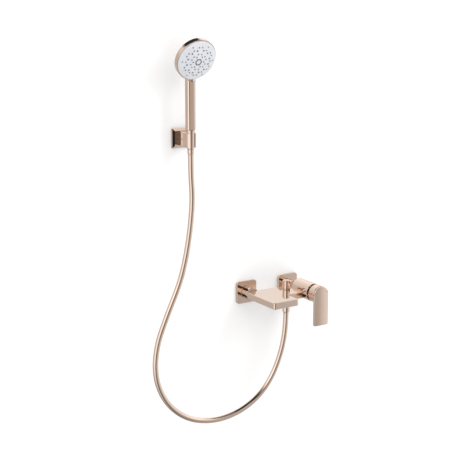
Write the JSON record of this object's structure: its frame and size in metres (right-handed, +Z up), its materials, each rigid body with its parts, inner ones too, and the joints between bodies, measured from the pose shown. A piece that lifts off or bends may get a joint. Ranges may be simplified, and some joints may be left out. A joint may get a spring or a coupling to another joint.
{
  "type": "wall mounted bath mixer with hand shower",
  "caption": "Wall mounted bath mixer: flat slab body with wide spout, side valve with paddle lever, pull-up diverter, hose, slotted wall holder and round hand shower.",
  "frame": {"origin": "midway between the two wall inlets, on the wall's surface", "axes": "+X along the wall to the right, +Y into the wall, +Z up; the spout points along -Y"},
  "size_m": [0.5368, 0.2208, 1.1199],
  "materials": {
    "rose_gold": "polished",
    "rose_gold_moulding": "polished plating",
    "raw_brass": "turned",
    "steel": "turned",
    "dark_bonnet": "satin",
    "technical_plastic": "moulded",
    "ceramic": "lapped",
    "seal_rubber": "smooth",
    "face_white": "satin",
    "nozzle_grey": "satin",
    "hose_skin": "metallised, smooth",
    "index_blue": "gloss",
    "index_red": "gloss",
    "plug_nylon": "moulded"
  },
  "bodies": {
    "root": {"mixer_body": "rose_gold", "cartridge_shell": "technical_plastic", "cartridge_seals": "seal_rubber", "fixed_disc": "ceramic", "retaining_nut": "raw_brass", "bonnet": "dark_bonnet", "diverter_guide": "rose_gold", "hose_outlet": "rose_gold", "outlet_washer": "seal_rubber", "hose_tail_lower": "raw_brass", "hose_nut": "rose_gold", "aerator_housing": "rose_gold", "aerator_insert": "technical_plastic", "hose": "hose_skin", "holder_bracket": "steel", "holder_screws": "steel", "wall_plugs": "plug_nylon", "holder_cover": "rose_gold", "holder_arm": "rose_gold", "holder_grub_screw": "steel", "holder_liner": "technical_plastic", "eccentric_union_left": "raw_brass", "escutcheon_left": "rose_gold", "inlet_washer_left": "seal_rubber", "inlet_filter_left": "steel", "inlet_tail_left": "raw_brass", "union_nut_left": "rose_gold", "eccentric_union_right": "raw_brass", "escutcheon_right": "rose_gold", "inlet_washer_right": "seal_rubber", "inlet_filter_right": "steel", "inlet_tail_right": "raw_brass", "union_nut_right": "rose_gold"},
    "temperature": {"stem_carrier": "technical_plastic", "pivot_pin": "steel"},
    "lever_body": {"lever": "rose_gold", "lever_grub_screw": "steel", "hot_index": "index_red", "cold_index": "index_blue", "valve_stem": "steel"},
    "disc_body": {"moving_disc": "ceramic", "disc_driver": "technical_plastic"},
    "diverter": {"diverter_stem": "raw_brass", "diverter_seal": "seal_rubber", "diverter_knob": "rose_gold"},
    "hose_end": {"hose_tail_upper": "raw_brass"},
    "handset": {"cone_nut": "rose_gold", "handset_washer": "seal_rubber", "handset_nipple": "technical_plastic", "handset_shell": "rose_gold_moulding", "waterway": "technical_plastic"},
    "spray_face": {"face_plate": "face_white", "nozzle_mat": "nozzle_grey", "spray_disc": "technical_plastic", "hex_ring": "nozzle_grey"}
  },
  "joints": [
    {"name": "temperature_turn", "type": "hinge", "parent": "root", "child": "temperature", "pos_m": [0.0755, -0.113, 0.0105], "axis": [0, 1, 0], "range_deg": [-45, 45]},
    {"name": "lever_lift", "type": "hinge", "parent": "temperature", "child": "lever_body", "pos_m": [0.0755, -0.113, 0.0105], "axis": [-1, 0, 0], "range_deg": [0, 20]},
    {"name": "disc_slide", "type": "slide", "parent": "temperature", "child": "disc_body", "axis": [0, 0, -1], "range_m": [0, 0.0035]},
    {"name": "diverter_pull", "type": "slide", "parent": "root", "child": "diverter", "axis": [0, 0, 1], "range_m": [0, 0.005]},
    {"name": "handset_lift", "type": "slide", "parent": "root", "child": "hose_end", "axis": [0, 0, 1], "range_m": [0, 0.045]},
    {"name": "handset_swivel", "type": "hinge", "parent": "hose_end", "child": "handset", "pos_m": [-0.296, -0.06, 0.48], "axis": [0, 0, 1], "range_deg": [-45, 45]},
    {"name": "spray_select", "type": "hinge", "parent": "handset", "child": "spray_face", "pos_m": [-0.296, -0.0935, 0.7045], "axis": [0, -0.9135, -0.4067], "range_deg": [-30, 30]}
  ],
  "couplings": [
    {"joint": "disc_slide", "follows": "lever_lift", "m_per_rad": 0.0097}
  ]
}
